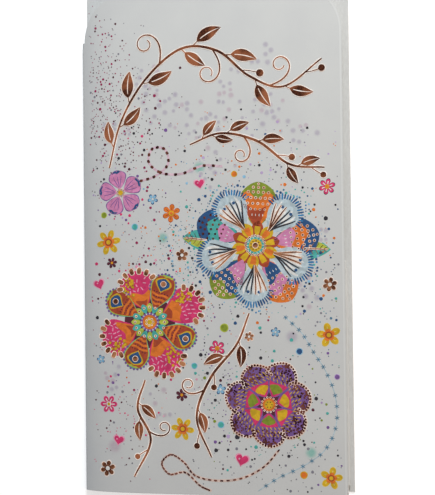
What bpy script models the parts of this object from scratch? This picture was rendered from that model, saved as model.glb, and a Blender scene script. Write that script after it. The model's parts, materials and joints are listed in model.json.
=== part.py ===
"""Gift money wallet: one creased card board with a hinged front cover and an inner pocket.

The wallet lies on its back panel. X runs from the spine fold to the opening edge, Y from the
bottom to the top of the card and Z up through its layers. The origin is at the middle of the
underside. Lengths are in metres.
"""

import math

import bmesh
import bpy
from mathutils import Vector
from mathutils.geometry import tessellate_polygon

# Front cover, which springs up from its fold at an angle that dies away over a short run
COVER_WIDTH = 0.090
COVER_HEIGHT = 0.174
CORNER_RADIUS = 0.0165
SPRING_DEGREES = 24
SPRING_RUN = 0.006
EDGE_GAP = 0.0014

# Board, folds and the room between layers
BOARD = 0.0004
LAYER_GAP = 0.0003
CREASE_GAP = 0.0003

# Back panel
BACK_OVERHANG = 0.0024

# Inner pocket
POCKET_HEIGHT = 0.078
POCKET_SPINE_MARGIN = 0.0035
POCKET_OPEN_MARGIN = 0.0016
POCKET_SETBACK = 0.0005
NOTCH_WIDTH = 0.026
NOTCH_DEPTH = 0.008

# Side tabs and the glue under them
TAB_WIDTH = 0.012
TAB_TAPER = 0.004
TAB_INSET = 0.0025
GLUE_THICKNESS = 0.0001
GLUE_GAP = 0.00015
GLUE_WIDTH = 0.006
GLUE_MARGIN = 0.005

# Foil stamped on the cover
FOIL_THICKNESS = 0.0001
FOIL_GAP = 0.0003

# Points along round stretches
CORNER_STEPS = 12
SPAN_STEPS = 16
FOLD_STEPS = 16
NOTCH_STEPS = 16
GLUE_END_STEPS = 5

# Heights of the layers, from the table up
tab_under = BOARD + GLUE_GAP + GLUE_THICKNESS + GLUE_GAP
pocket_under = tab_under + BOARD + LAYER_GAP
pocket_top = pocket_under + BOARD
roll_height = pocket_top + LAYER_GAP + BOARD
spine_height = roll_height / 2
spine_radius = roll_height / 2
pocket_fold_height = pocket_top / 2
pocket_fold_radius = pocket_top / 2
tab_fold_height = (tab_under + pocket_top) / 2
tab_fold_radius = (pocket_top - tab_under) / 2

# Places across the card, from the middle of the spine fold
back_right = COVER_WIDTH + BACK_OVERHANG
pocket_left = POCKET_SPINE_MARGIN + tab_fold_radius
pocket_right = back_right - POCKET_OPEN_MARGIN - tab_fold_radius
pocket_bottom = POCKET_SETBACK + pocket_fold_radius
pocket_mouth = pocket_bottom + POCKET_HEIGHT
spine_top = COVER_HEIGHT - CORNER_RADIUS
card_left = (spine_radius - back_right) / 2
card_bottom = -COVER_HEIGHT / 2

# The spine fold's roll ends early, where its tangent climbs at the spring angle
spring = math.radians(SPRING_DEGREES)
fold_end = -spine_radius * math.sin(spring)
fold_end_rise = spine_radius * math.cos(spring)
cover_start = fold_end + CREASE_GAP * math.cos(spring)
cover_span = COVER_WIDTH - fold_end
spring_rise = SPRING_RUN * math.tan(spring)
edge_rise = pocket_top + EDGE_GAP + BOARD - spine_height
edge_sag = fold_end_rise + spring_rise - edge_rise

# Foil shapes, as shares of the cover's width. Across is measured from the spine fold, and
# down from the cover's top edge.
VINE_SHARES = (
    (0.100, 0.680),
    (0.150, 0.500),
    (0.250, 0.340),
    (0.390, 0.230),
    (0.530, 0.245),
    (0.650, 0.345),
    (0.780, 0.390),
    (0.925, 0.290),
)
# Each limb: place along the stem, side, angle in degrees, length, curl in degrees, kind
VINE_LIMB_SHARES = (
    (0.06, 1, 42, 0.105, -34, "leaf"),
    (0.12, -1, 46, 0.115, 34, "leaf"),
    (0.20, 1, 44, 0.125, -30, "leaf"),
    (0.27, -1, 48, 0.125, 34, "leaf"),
    (0.34, 1, 40, 0.300, 430, "tendril"),
    (0.43, -1, 66, 0.115, 20, "leaf"),
    (0.47, 1, 48, 0.130, -34, "leaf"),
    (0.55, -1, 38, 0.290, -430, "tendril"),
    (0.60, 1, 46, 0.125, -34, "leaf"),
    (0.68, 1, 40, 0.085, -20, "berry"),
    (0.74, -1, 46, 0.120, 30, "leaf"),
    (0.80, 1, 38, 0.270, 420, "tendril"),
    (0.86, -1, 44, 0.110, 30, "leaf"),
    (0.94, -1, 34, 0.075, 20, "berry"),
)
SPRAY_SHARES = (
    (0.420, 0.600),
    (0.540, 0.560),
    (0.680, 0.595),
    (0.800, 0.685),
    (0.930, 0.700),
)
SPRAY_LIMB_SHARES = (
    (0.10, 1, 42, 0.090, -30, "leaf"),
    (0.17, -1, 46, 0.085, 30, "leaf"),
    (0.29, 1, 44, 0.095, -30, "leaf"),
    (0.40, -1, 38, 0.220, -420, "tendril"),
    (0.50, 1, 44, 0.100, -30, "leaf"),
    (0.64, 1, 42, 0.070, -20, "berry"),
    (0.72, -1, 46, 0.090, 30, "leaf"),
    (0.80, 1, 44, 0.090, -30, "leaf"),
    (0.90, -1, 40, 0.065, 20, "berry"),
)
LARGE_STEM_SHARES = (
    (0.640, 1.245),
    (0.590, 1.365),
    (0.490, 1.490),
    (0.435, 1.640),
    (0.490, 1.790),
)
LARGE_STEM_LIMB_SHARES = (
    (0.22, 1, 46, 0.100, -30, "leaf"),
    (0.33, -1, 44, 0.100, 30, "leaf"),
    (0.46, 1, 44, 0.065, -20, "berry"),
    (0.58, -1, 38, 0.200, -430, "tendril"),
    (0.70, 1, 44, 0.095, -30, "leaf"),
    (0.84, -1, 42, 0.065, 20, "berry"),
)
SMALL_STEM_SHARES = (
    (0.235, 1.500),
    (0.205, 1.610),
    (0.255, 1.730),
    (0.190, 1.870),
)
SMALL_STEM_LIMB_SHARES = (
    (0.26, 1, 68, 0.090, -20, "leaf"),
    (0.42, -1, 44, 0.090, 30, "leaf"),
    (0.58, 1, 38, 0.190, 420, "tendril"),
    (0.76, -1, 44, 0.060, 20, "berry"),
)
STEM_STROKE_SHARE = 0.010
TENDRIL_STROKE_SHARE = 0.0067
TIP_STROKE_SHARE = 0.0039
STEM_SPACING_SHARE = 0.0111
LEAF_HALF_WIDTH_SHARE = 0.17
LEAF_STALK_SHARE = 0.20
LEAF_BELLY_SHARE = 0.8
BERRY_HALF_WIDTH_SHARE = 0.15
STEM_END_SHARE = 0.10
LEAF_STEPS = 12
TENDRIL_STEPS = 26

# Strokes of the foil, which grow and shrink with the cover that it decorates
stem_stroke = COVER_WIDTH * STEM_STROKE_SHARE
tendril_stroke = COVER_WIDTH * TENDRIL_STROKE_SHARE
tip_stroke = COVER_WIDTH * TIP_STROKE_SHARE
stem_spacing = COVER_WIDTH * STEM_SPACING_SHARE

# Surfaces: colour, roughness and metallic value
SATIN_CARD = ((0.78, 0.78, 0.77, 1.0), 0.34, 0.0)
DRIED_GLUE = ((0.80, 0.76, 0.66, 1.0), 0.5, 0.0)
COPPER_FOIL = ((0.45, 0.20, 0.11, 1.0), 0.25, 1.0)
SHARP_DEGREES = 35


def clear_scene():
    for old in list(bpy.data.objects):
        bpy.data.objects.remove(old)


def finish(name, surface):
    """A plain surface for one piece."""
    colour, roughness, metallic = surface
    material = bpy.data.materials.new(name)
    material.use_nodes = True
    shader = material.node_tree.nodes["Principled BSDF"]
    shader.inputs["Base Color"].default_value = colour
    shader.inputs["Roughness"].default_value = roughness
    shader.inputs["Metallic"].default_value = metallic
    return material


def empty(name, place):
    """A bare axis cross that carries pieces."""
    cross = bpy.data.objects.new(name, None)
    cross.location = place
    bpy.context.scene.collection.objects.link(cross)
    return cross


def piece(name, points, faces, carrier, surface):
    """One named solid with its own material, carried by an empty."""
    mesh = bpy.data.meshes.new(name)
    mesh.from_pydata(points, [], faces)
    shape = bmesh.new()
    shape.from_mesh(mesh)
    bmesh.ops.recalc_face_normals(shape, faces=shape.faces)
    shape.to_mesh(mesh)
    shape.free()
    mesh.shade_smooth()
    mesh.set_sharp_from_angle(angle=math.radians(SHARP_DEGREES))
    mesh.materials.append(finish(name + "_surface", surface))
    made = bpy.data.objects.new(name, mesh)
    made.parent = carrier
    bpy.context.scene.collection.objects.link(made)


def sheet(name, stations, carrier, surface):
    """A sheet of board from rows of (upper point, lower point) pairs, closed all round."""
    across = len(stations[0])
    points = [point for row in stations for pair in row for point in pair]

    def upper(row, place):
        return 2 * (row * across + place)

    def lower(row, place):
        return upper(row, place) + 1

    def edge_face(first, last):
        return [upper(*first), upper(*last), lower(*last), lower(*first)]

    faces = []
    last_row = len(stations) - 1
    last_place = across - 1
    for row in range(last_row):
        for place in range(last_place):
            ring = ((row, place), (row + 1, place), (row + 1, place + 1), (row, place + 1))
            faces.append([upper(*corner) for corner in ring])
            faces.append([lower(*corner) for corner in reversed(ring)])
        for place in (0, last_place):
            faces.append(edge_face((row, place), (row + 1, place)))
    for row in (0, last_row):
        for place in range(last_place):
            faces.append(edge_face((row, place), (row, place + 1)))
    piece(name, points, faces, carrier, surface)


def above_cover(across, lift):
    """(across, height above the hinge axis) at a lift from the cover's upper side, square to it.

    The upper side climbs steeply from the fold, levels out, and sags to the free edge."""
    run = across - fold_end
    level = 1 - math.exp(-run / SPRING_RUN)
    sag_share = run / cover_span
    rise = fold_end_rise + spring_rise * level - edge_sag * sag_share ** 2
    slope = math.atan(math.tan(spring) * (1 - level) - 2 * edge_sag * sag_share / cover_span)
    return across - lift * math.sin(slope), rise + lift * math.cos(slope)


def arc_pairs(middle_across, middle_height, radius, board, steps, start, end):
    """(outer, inner) points round a fold, in the plane that crosses it."""
    pairs = []
    for step in range(steps + 1):
        angle = math.radians(start + (end - start) * step / steps)
        pairs.append(
            tuple(
                (middle_across + reach * math.cos(angle), middle_height + reach * math.sin(angle))
                for reach in (radius, radius - board)
            )
        )
    return pairs


def cover_columns():
    """(distance across, top of the cover there), with both top corners as arcs."""
    first = cover_start + CORNER_RADIUS
    last = COVER_WIDTH - CORNER_RADIUS
    near_spine = []
    near_edge = []
    for step in range(CORNER_STEPS + 1):
        angle = math.pi / 2 * step / CORNER_STEPS
        aside = CORNER_RADIUS * math.sin(angle)
        top = COVER_HEIGHT - CORNER_RADIUS * (1 - math.cos(angle))
        near_spine.insert(0, (first - aside, top))
        near_edge.append((last + aside, top))
    flat_top = []
    for step in range(1, SPAN_STEPS):
        flat_top.append((first + (last - first) * step / SPAN_STEPS, COVER_HEIGHT))
    return near_spine + flat_top + near_edge


def add_front_cover(hinge):
    """The cover, in the hinge's own space: Z is measured from the hinge axis."""
    rows = []
    for across, top in cover_columns():
        over = above_cover(across, 0)
        under = above_cover(across, -BOARD)
        rows.append([tuple((x, along, z) for x, z in (over, under)) for along in (0, top)])
    sheet("front_cover", rows, hinge, SATIN_CARD)


def add_spine_fold(card):
    """Nearly half a roll of board, from the cover down to the back panel."""
    profile = arc_pairs(0, spine_height, spine_radius, BOARD, FOLD_STEPS, 90 + SPRING_DEGREES, 270)
    rows = [
        [tuple((across, along, height) for across, height in pair) for pair in profile]
        for along in (0, spine_top)
    ]
    sheet("spine_fold", rows, card, SATIN_CARD)


def add_back_panel(card):
    bottom = pocket_bottom + CREASE_GAP
    rows = [
        [((across, along, BOARD), (across, along, 0)) for along in (bottom, COVER_HEIGHT)]
        for across in (CREASE_GAP, back_right)
    ]
    sheet("back_panel", rows, card, SATIN_CARD)


def add_pocket_fold(card):
    """Half a roll of board along the bottom, from the back panel up to the pocket."""
    profile = arc_pairs(
        pocket_bottom, pocket_fold_height, pocket_fold_radius, BOARD, FOLD_STEPS, 90, 270
    )
    rows = [
        [tuple((across, along, height) for along, height in pair) for pair in profile]
        for across in (pocket_left, pocket_right)
    ]
    sheet("pocket_fold", rows, card, SATIN_CARD)


def add_pocket_panel(card):
    """The front of the pocket, with a thumb notch in the middle of its mouth."""
    first = pocket_left + CREASE_GAP
    last = pocket_right - CREASE_GAP
    middle = (first + last) / 2
    columns = [(first, pocket_mouth)]
    for step in range(NOTCH_STEPS + 1):
        turn = math.pi * (step / NOTCH_STEPS - 1 / 2)
        across = middle + NOTCH_WIDTH * (step / NOTCH_STEPS - 1 / 2)
        columns.append((across, pocket_mouth - NOTCH_DEPTH * math.cos(turn) ** 2))
    columns.append((last, pocket_mouth))
    bottom = pocket_bottom + CREASE_GAP
    rows = [
        [((across, along, pocket_top), (across, along, pocket_under)) for along in (bottom, mouth)]
        for across, mouth in columns
    ]
    sheet("pocket_panel", rows, card, SATIN_CARD)


def tab_stations():
    """(height along the card, width of the tab there): a tab whose two ends are cut at a slant."""
    bottom = pocket_bottom + TAB_INSET
    top = pocket_mouth - TAB_INSET
    short = TAB_WIDTH - TAB_TAPER
    return ((bottom, short), (bottom + TAB_TAPER, TAB_WIDTH), (top - TAB_TAPER, TAB_WIDTH), (top, short))


def add_pocket_tab(card, name, edge, inward):
    """A tab folded in behind the pocket, with its own rolled fold at the pocket's side."""
    rows = []
    for along, width in tab_stations():
        roll = arc_pairs(0, tab_fold_height, tab_fold_radius, BOARD, FOLD_STEPS, 90, 270)
        roll.append(((width, tab_under), (width, tab_under + BOARD)))
        rows.append(
            [tuple((edge + inward * across, along, height) for across, height in pair) for pair in roll]
        )
    sheet(name, rows, card, SATIN_CARD)


def add_glue_line(card, name, edge, inward):
    """A flat bead of adhesive with round ends, between a tab and the back panel."""
    middle = edge + inward * (TAB_WIDTH - TAB_TAPER) / 2
    half = GLUE_WIDTH / 2
    bottom = pocket_bottom + TAB_INSET + GLUE_MARGIN
    top = pocket_mouth - TAB_INSET - GLUE_MARGIN
    ends = []
    for step in range(1, GLUE_END_STEPS + 1):
        angle = math.pi / 2 * step / GLUE_END_STEPS
        ends.append((half * (1 - math.cos(angle)), half * math.sin(angle)))
    outline = [(bottom + run, reach) for run, reach in ends]
    outline += [(top - run, reach) for run, reach in reversed(ends)]
    under = BOARD + GLUE_GAP
    over = under + GLUE_THICKNESS
    rows = [
        [((middle + side * reach, along, over), (middle + side * reach, along, under)) for side in (-1, 1)]
        for along, reach in outline
    ]
    sheet(name, rows, card, DRIED_GLUE)


def smooth_route(places, spacing):
    """Points of a Catmull-Rom curve through the places, about one spacing apart."""
    padded = [places[0] * 2 - places[1]] + places + [places[-1] * 2 - places[-2]]
    spans = len(places) - 1
    reach = sum((after - before).length for before, after in zip(places, places[1:]))
    steps = round(reach / spacing)
    route = []
    for step in range(steps + 1):
        travel = spans * step / steps
        span = min(int(travel), spans - 1)
        part = travel - span
        before, start, end, after = padded[span:span + 4]
        once = (end - before) * part
        twice = (before * 2 - start * 5 + end * 4 - after) * part ** 2
        thrice = (start * 3 - before - end * 3 + after) * part ** 3
        route.append((start * 2 + once + twice + thrice) / 2)
    return route


def curled_route(start, heading, length, curl, steps, turned_by):
    """Points of a limb that leaves start at a heading and turns by curl over its length."""
    route = [start]
    for step in range(steps):
        turned = heading + curl * turned_by((step + 1 / 2) / steps)
        route.append(route[-1] + Vector((math.cos(turned), math.sin(turned))) * (length / steps))
    return route


def left_of(route, index):
    """The unit vector to the left of the route at one of its points."""
    ahead = route[min(index + 1, len(route) - 1)]
    behind = route[max(index - 1, 0)]
    along = (ahead - behind).normalized()
    return Vector((-along.y, along.x))


def leaf_width(share, length):
    """Half the width of a leaf: a thin stalk, then a pointed blade."""
    blade = max(share - LEAF_STALK_SHARE, 0) / (1 - LEAF_STALK_SHARE)
    return tip_stroke / 2 + length * LEAF_HALF_WIDTH_SHARE * math.sin(math.pi * blade ** LEAF_BELLY_SHARE)


def berry_width(share, length):
    """Half the width of a berry: a thin stalk that ends in a round bead."""
    radius = BERRY_HALF_WIDTH_SHARE
    off_middle = (share - (1 - radius)) / radius
    bead = math.sqrt(max(1 - off_middle ** 2, 0))
    return tip_stroke / 2 + length * radius * bead


def tendril_width(share, length):
    """Half the width of a tendril, which thins out evenly to its tip."""
    return (tendril_stroke * (1 - share) + tip_stroke * share) / 2


def even_turn(share):
    """A leaf or a berry turns evenly over its length."""
    return share


def late_turn(share):
    """A tendril turns more and more tightly towards its tip."""
    return share * share


# Width along the limb, points along it and how its turning is spread
LIMB_KINDS = {
    "leaf": (leaf_width, LEAF_STEPS, even_turn),
    "berry": (berry_width, LEAF_STEPS, even_turn),
    "tendril": (tendril_width, TENDRIL_STEPS, late_turn),
}


def limb_outline(stem, index, side, angle, length, curl, kind):
    """Out along the left side of a limb and back along its right side."""
    width_at, steps, turned_by = LIMB_KINDS[kind]
    along = stem[index + 1] - stem[index - 1]
    heading = math.atan2(along.y, along.x) + side * math.radians(angle)
    route = curled_route(stem[index], heading, length, math.radians(curl), steps, turned_by)
    clear_of_stem = 1 + int(stem_spacing / (length / steps))
    out = []
    back = []
    for step in range(clear_of_stem, steps + 1):
        aside = left_of(route, step) * width_at(step / steps, length)
        out.append(route[step] + aside)
        back.append(route[step] - aside)
    return out + back[::-1]


def branch_outline(shares, limbs):
    """One outline round a stem and all its limbs, on the cover's face."""
    top = Vector((0, COVER_HEIGHT))
    places = [top + Vector((across, -down)) * COVER_WIDTH for across, down in shares]
    stem = smooth_route(places, stem_spacing)
    last = len(stem) - 1
    half = []
    for index in range(last + 1):
        swell = math.sin(math.pi * (STEM_END_SHARE + (1 - 2 * STEM_END_SHARE) * index / last))
        half.append((tip_stroke + (stem_stroke - tip_stroke) * swell) / 2)
    grown = {1: {}, -1: {}}
    for place, side, angle, length, curl, kind in limbs:
        index = round(place * last)
        outline = limb_outline(stem, index, side, angle, length * COVER_WIDTH, curl, kind)
        grown[side][index] = outline
        grown[side][index + 1] = []
    points = []
    for side, order in ((1, range(last + 1)), (-1, range(last, -1, -1))):
        for index in order:
            edge = [stem[index] + left_of(stem, index) * half[index] * side]
            points += grown[side].get(index, edge)
    return points


def add_foil(hinge, name, shares, limbs):
    """A thin foil shape that follows the curved cover."""
    outline = branch_outline(shares, limbs)
    count = len(outline)
    points = []
    for lift in (FOIL_GAP, FOIL_GAP + FOIL_THICKNESS):
        for place in outline:
            across, height = above_cover(place.x, lift)
            points.append((across, place.y, height))
    flat = [Vector((place.x, place.y, 0)) for place in outline]
    faces = []
    for triangle in tessellate_polygon([flat]):
        faces.append(list(triangle))
        faces.append([count + corner for corner in reversed(triangle)])
    for index in range(count):
        after = (index + 1) % count
        faces.append([index, after, count + after, count + index])
    piece(name, points, faces, hinge, COPPER_FOIL)


def main():
    clear_scene()
    card = empty("card_corner", (card_left, card_bottom, 0))
    hinge = empty("cover_hinge_axis", (card_left, card_bottom, spine_height))
    add_front_cover(hinge)
    add_spine_fold(card)
    add_back_panel(card)
    add_pocket_fold(card)
    add_pocket_panel(card)
    add_pocket_tab(card, "pocket_tab_left", pocket_left, 1)
    add_pocket_tab(card, "pocket_tab_right", pocket_right, -1)
    add_glue_line(card, "glue_line_left", pocket_left, 1)
    add_glue_line(card, "glue_line_right", pocket_right, -1)
    add_foil(hinge, "foil_vine", VINE_SHARES, VINE_LIMB_SHARES)
    add_foil(hinge, "foil_spray", SPRAY_SHARES, SPRAY_LIMB_SHARES)
    add_foil(hinge, "foil_stem_large", LARGE_STEM_SHARES, LARGE_STEM_LIMB_SHARES)
    add_foil(hinge, "foil_stem_small", SMALL_STEM_SHARES, SMALL_STEM_LIMB_SHARES)


main()
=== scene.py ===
"""Looks of the gift money wallet: satin card with colour printing and copper foil.

The artwork is drawn flat in millimetres, across from the spine fold's middle and up from the
card's bottom edge, and is then laid on the cover's curved face.
"""

import json
import random
from math import atan, atan2, ceil, copysign, cos, degrees, exp, hypot, pi, radians, sin, tan

import bmesh
import bpy
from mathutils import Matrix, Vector


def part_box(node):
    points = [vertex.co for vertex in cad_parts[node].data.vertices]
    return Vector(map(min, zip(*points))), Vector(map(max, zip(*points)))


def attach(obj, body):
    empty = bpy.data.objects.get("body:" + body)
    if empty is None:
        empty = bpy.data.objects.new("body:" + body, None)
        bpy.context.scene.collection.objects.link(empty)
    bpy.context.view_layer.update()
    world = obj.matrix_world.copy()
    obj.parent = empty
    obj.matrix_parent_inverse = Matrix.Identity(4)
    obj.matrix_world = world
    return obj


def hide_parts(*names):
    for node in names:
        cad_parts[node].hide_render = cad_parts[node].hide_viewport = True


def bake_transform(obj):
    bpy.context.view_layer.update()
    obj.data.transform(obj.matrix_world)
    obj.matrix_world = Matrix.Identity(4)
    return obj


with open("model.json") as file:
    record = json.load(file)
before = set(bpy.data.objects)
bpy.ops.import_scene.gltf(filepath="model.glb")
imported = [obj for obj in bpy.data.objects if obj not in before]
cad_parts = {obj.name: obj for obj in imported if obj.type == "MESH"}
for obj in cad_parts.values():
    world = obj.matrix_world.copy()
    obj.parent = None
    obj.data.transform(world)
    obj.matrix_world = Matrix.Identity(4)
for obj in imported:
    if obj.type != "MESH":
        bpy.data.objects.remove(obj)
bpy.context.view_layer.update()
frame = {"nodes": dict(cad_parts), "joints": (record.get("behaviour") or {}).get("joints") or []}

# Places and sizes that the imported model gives
MM = 0.001
hinge = Vector(frame["joints"][0]["pos_m"])
cover_low, cover_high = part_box("front_cover")
pocket_low, pocket_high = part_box("pocket_panel")
roll_low, roll_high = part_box("pocket_fold")
back_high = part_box("back_panel")[1]

# The same shape values as in the model, in millimetres
BOARD = 0.4
SPRING = radians(24)
SPRING_RUN = 6.0
EDGE_GAP = 1.4
CORNER_RADIUS = 16.5
CREASE_GAP = 0.3
NOTCH_WIDTH = 26.0
NOTCH_DEPTH = 8.0

# How far the white core shows round the cut edges, and the place and half width of the painted
# highlight along the cover's free edge
EDGE_WEAR = 0.17
HIGHLIGHT_INSET = 0.52
HIGHLIGHT_HALF = 0.26

# Steps between a sheet's points, in millimetres, and how close to an edge one more row lies
ROLL_STEP = 0.14
COVER_STEPS = (2.0, 5.0)
BACK_STEP = 6.0
POCKET_STEP = 1.3
EDGE_MARGIN = 0.35
CORNER_STEPS = 30
FOLD_STEPS = 14
POCKET_ROWS = 14

cover_width = (cover_high.x - hinge.x) / MM
cover_height = (cover_high.y - cover_low.y) / MM
spine_radius = hinge.z / MM
fold_end = -spine_radius * sin(SPRING)
fold_end_rise = spine_radius * cos(SPRING)
cover_span = cover_width - fold_end
spring_rise = SPRING_RUN * tan(SPRING)
edge_rise = pocket_high.z / MM + EDGE_GAP + BOARD - spine_radius
edge_sag = fold_end_rise + spring_rise - edge_rise
roll_length = spine_radius * (pi - SPRING)
roll_radius = (roll_high.z - roll_low.z) / 2 / MM
pocket_bottom = (roll_low.y - cover_low.y) / MM + roll_radius
pocket_left = (pocket_low.x - hinge.x) / MM - CREASE_GAP
pocket_right = (pocket_high.x - hinge.x) / MM + CREASE_GAP
pocket_mouth = (pocket_high.y - cover_low.y) / MM
back_right = (back_high.x - hinge.x) / MM

# Thin layers on the cover, in millimetres above the card
SUNK = -0.012
FIRST_LAYER = 0.012
LAYER_STEP = 0.006
SHAPE_STEP = 0.0006
SHAPE_LIFTS = 9
# The layer of the pale foil that is a painted highlight round the stamped shapes
HIGHLIGHT_LAYER = 10
FOIL_LAYER = 11
TOP_LAYER = 17

# How finely flat shapes are divided, and the share of a soft spot that is evenly dense
GRID_STEP = 0.85
SIDES_PER_MM = 14
DASH_SIDES = 12
HEART_SIDES = 28
SOFT_CORE = 0.3


# Shapes of the card

def cover_section(across):
    """(across, height, slope) of the printed side, in millimetres from the hinge axis."""
    if across < fold_end:
        turn = SPRING + (fold_end - across) / spine_radius
        return -spine_radius * sin(turn), spine_radius * cos(turn), turn
    run = across - fold_end
    level = 1 - exp(-run / SPRING_RUN)
    share = run / cover_span
    rise = fold_end_rise + spring_rise * level - edge_sag * share * share
    slope = atan(tan(SPRING) * (1 - level) - 2 * edge_sag * share / cover_span)
    return across, rise, slope


def on_cover(across, along, lift):
    """The frame's point at a place on the printed side, lifted square to it."""
    x, z, slope = cover_section(across)
    return Vector((
        hinge.x + (x - lift * sin(slope)) * MM,
        cover_low.y + along * MM,
        hinge.z + (z + lift * cos(slope)) * MM,
    ))


def on_table(across, along, height):
    """The frame's point at a place and a height above the table."""
    return Vector((hinge.x + across * MM, cover_low.y + along * MM, height * MM))


def on_back(across, along, lift):
    return on_table(across, along, BOARD + lift)


def on_pocket(across, along, lift):
    """Along is measured from the bottom fold's upper end; less than zero goes round the fold."""
    if along >= 0:
        return on_table(across, pocket_bottom + along, 2 * roll_radius + lift)
    turn = -along / roll_radius
    reach = roll_radius + lift
    return on_table(across, pocket_bottom - reach * sin(turn), roll_radius + reach * cos(turn))


def spread(start, end, step, margin=0.0):
    """Numbers from start to end about a step apart, with extra ones at a margin from both."""
    count = max(1, round(abs(end - start) / step))
    found = [start + (end - start) * index / count for index in range(count + 1)]
    if margin:
        far = abs(end - start) - margin
        side = copysign(margin, end - start)
        inner = [value for value in found[1:-1] if margin < abs(value - start) < far]
        found = [start, start + side, *inner, end - side, found[-1]]
    return found


def build(name, points, faces, materials, indices=None, smooth_degrees=30):
    mesh = bpy.data.meshes.new(name)
    mesh.from_pydata([tuple(point) for point in points], [], faces)
    for material in materials:
        mesh.materials.append(material)
    if indices:
        mesh.polygons.foreach_set("material_index", indices)
    mesh.shade_smooth()
    mesh.set_sharp_from_angle(angle=radians(smooth_degrees))
    made = bpy.data.objects.new(name, mesh)
    bpy.context.scene.collection.objects.link(made)
    return made


def grid_faces(count, width):
    """The four-sided faces of a grid whose points are numbered row by row."""
    corners = [row * width + step for row in range(count - 1) for step in range(width - 1)]
    return [[corner, corner + 1, corner + width + 1, corner + width] for corner in corners]


def board(name, columns, wrap, materials):
    """A closed sheet of card from columns of (across, along) places on its upper side.

    Materials are those of the upper side, the lower side and the cut edges, which are rounded
    slightly."""
    rows = len(columns[0])
    under = len(columns) * rows
    last = under - rows
    points = [wrap(*place, lift) for lift in (0, -BOARD) for column in columns for place in column]
    faces = []
    for first, *rest in grid_faces(len(columns), rows):
        ring = [first, *reversed(rest)]
        faces += [ring, [under + corner for corner in reversed(ring)]]
    border = [*range(0, under, rows), *range(last + 1, under)]
    border += [*range(last - 1, 0, -rows), *range(rows - 2, 0, -1)]
    indices = [0, 1] * (len(faces) // 2) + [2] * len(border)
    for here, after in zip(border, border[1:] + border[:1]):
        faces.append([here, under + here, under + after, after])
    sheet = build(name, points, faces, materials, indices)
    bevel = sheet.modifiers.new("rounded_edges", "BEVEL")
    bevel.width = EDGE_WEAR * MM
    bevel.segments = 3
    bevel.limit_method = "ANGLE"
    bevel.angle_limit = radians(50)
    bevel.material = 2
    settled = sheet.evaluated_get(bpy.context.evaluated_depsgraph_get())
    applied = bpy.data.meshes.new_from_object(settled)
    sheet.modifiers.clear()
    sheet.data = applied
    applied.name = name
    applied.set_sharp_from_angle(angle=radians(60))
    return sheet


def hand_over(piece, body, slot, *replaced):
    """Tells the frame what carries a piece and the solids that it replaces. The slot is not used."""
    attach(piece, body)
    if replaced:
        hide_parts(*replaced)


# Flat shapes, each a list of (across, along, rise, density) points and a list of faces

def ray(angle):
    return Vector((cos(angle), sin(angle)))


def square_to(step):
    return Vector((-step.y, step.x))


def heading_of(here, after):
    return atan2(after.y - here.y, after.x - here.x)


def around(middle, radius, angle):
    return middle[0] + radius * cos(angle), middle[1] + radius * sin(angle)


def turned(middle, x, y, turn):
    """The place at x and y from the middle, turned round it."""
    return middle[0] + x * cos(turn) - y * sin(turn), middle[1] + x * sin(turn) + y * cos(turn)


def grid_shape(rows):
    """A patch from rows of points."""
    return [point for row in rows for point in row], grid_faces(len(rows), len(rows[0]))


def round_shape(middle, rim, rings=None, dome=0.0, soft=False):
    """A shape filled from its middle out to a rim of (across, along) places."""
    reach = max(hypot(x - middle[0], y - middle[1]) for x, y in rim)
    rings = rings or max(1, ceil(reach / GRID_STEP))
    count = len(rim)
    points = [(middle[0], middle[1], dome, 1.0)]
    for ring in range(1, rings + 1):
        share = ring / rings
        fade = max(share - SOFT_CORE, 0) / (1 - SOFT_CORE)
        density = 1 - (3 - 2 * fade) * fade ** 2 if soft else 1.0
        for x, y in rim:
            place = (middle[0] + (x - middle[0]) * share, middle[1] + (y - middle[1]) * share)
            points.append((*place, dome * (1 - share * share), density))
    faces = []
    for index in range(count):
        after = (index + 1) % count
        faces.append([0, 1 + index, 1 + after])
        for inner in range(1, 1 + (rings - 1) * count, count):
            outer = inner + count
            faces.append([inner + index, outer + index, outer + after, inner + after])
    return points, faces


def polar_rim(middle, radius_at, sides, turn=0.0):
    angles = [2 * pi * index / sides for index in range(sides)]
    return [around(middle, radius_at(angle), angle + turn) for angle in angles]


def disc(middle, radius, dome=0.0, soft=False, rings=None, wobble=0.0, phase=0.0):
    sides = max(8, min(40, round(radius * SIDES_PER_MM)))

    def radius_at(angle):
        return radius * (1 + wobble * (sin(3 * angle + phase) + 0.6 * sin(5 * angle + 2 * phase)))

    return round_shape(middle, polar_rim(middle, radius_at, sides), rings, dome, soft)


def dash(middle, length, width, turn, dome=0.0):
    """A short stroke with round ends."""
    rim = []
    for index in range(DASH_SIDES):
        angle = 2 * pi * index / DASH_SIDES
        x = length / 2 * copysign(abs(cos(angle)) ** 0.7, cos(angle))
        y = width / 2 * copysign(abs(sin(angle)) ** 0.7, sin(angle))
        rim.append(turned(middle, x, y, turn))
    return round_shape(middle, rim, None, dome)


def flower(middle, radius, petals, turn=0.0, waist=0.36, dome=0.0, point=0.55):
    """A small flower as one outline; the petals get narrower as the point value grows."""

    def radius_at(angle):
        return radius * (waist + (1 - waist) * abs(cos(petals * angle / 2)) ** point)

    return round_shape(middle, polar_rim(middle, radius_at, petals * 10, turn), None, dome)


def heart(middle, size, turn=0.0):
    rim = []
    for index in range(HEART_SIDES):
        t = 2 * pi * index / HEART_SIDES
        x = size / 2 * sin(t) ** 3
        y = size / 32 * (13 * cos(t) - 5 * cos(2 * t) - 2 * cos(3 * t) - cos(4 * t) + 2)
        rim.append(turned(middle, x, y, turn))
    return round_shape(middle, rim)


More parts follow.
